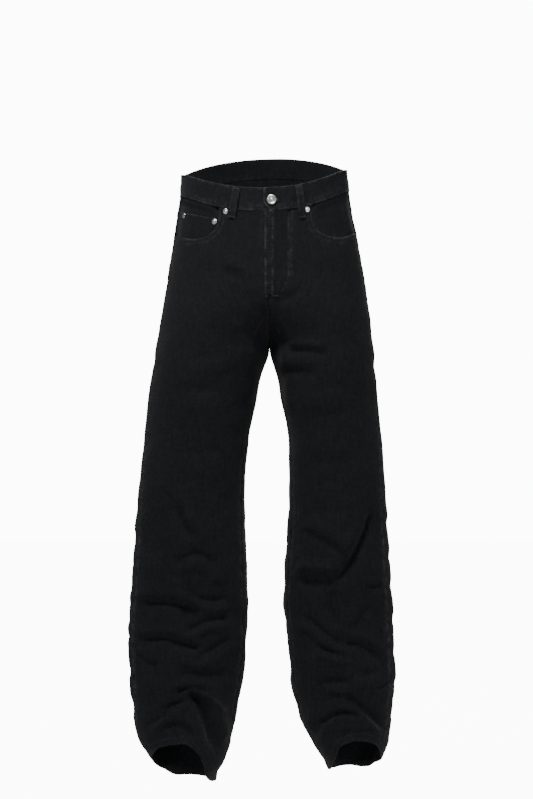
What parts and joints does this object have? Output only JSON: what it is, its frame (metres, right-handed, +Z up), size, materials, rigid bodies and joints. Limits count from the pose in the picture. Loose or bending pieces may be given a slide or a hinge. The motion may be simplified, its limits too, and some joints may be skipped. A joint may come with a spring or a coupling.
{
  "type": "straight leg jeans",
  "caption": "Hollow black denim jeans with straight legs, front scoop pockets, a coin pocket, back patch pockets, belt loops and a button waistband, held as worn.",
  "frame": {"origin": "middle of the waist, level with the middle of the waistband at the sides, in the plane of the front and back middle seams", "axes": "+Z up, -Y the way the front faces, +X to the wearer's left"},
  "size_m": [0.4723, 0.2536, 1.1182],
  "materials": {
    "denim": "matt black denim twill, slightly greyer on the seams",
    "metal": "satin nickel, plain"
  },
  "bodies": {
    "root": {"back_left": "denim", "back_pocket_left": "denim", "back_pocket_right": "denim", "back_right": "denim", "belt_loop_back": "denim", "belt_loop_front_left": "denim", "belt_loop_front_right": "denim", "belt_loop_side_left": "denim", "belt_loop_side_right": "denim", "coin_pocket": "denim", "fly_placket": "denim", "front_left": "denim", "front_right": "denim", "pocket_facing_left": "denim", "pocket_facing_right": "denim", "rivet_coin_inner": "metal", "rivet_coin_outer": "metal", "rivet_pocket_left": "metal", "rivet_pocket_right": "metal", "waist_button": "metal", "waistband": "denim", "yoke_left": "denim", "yoke_right": "denim"}
  },
  "joints": []
}
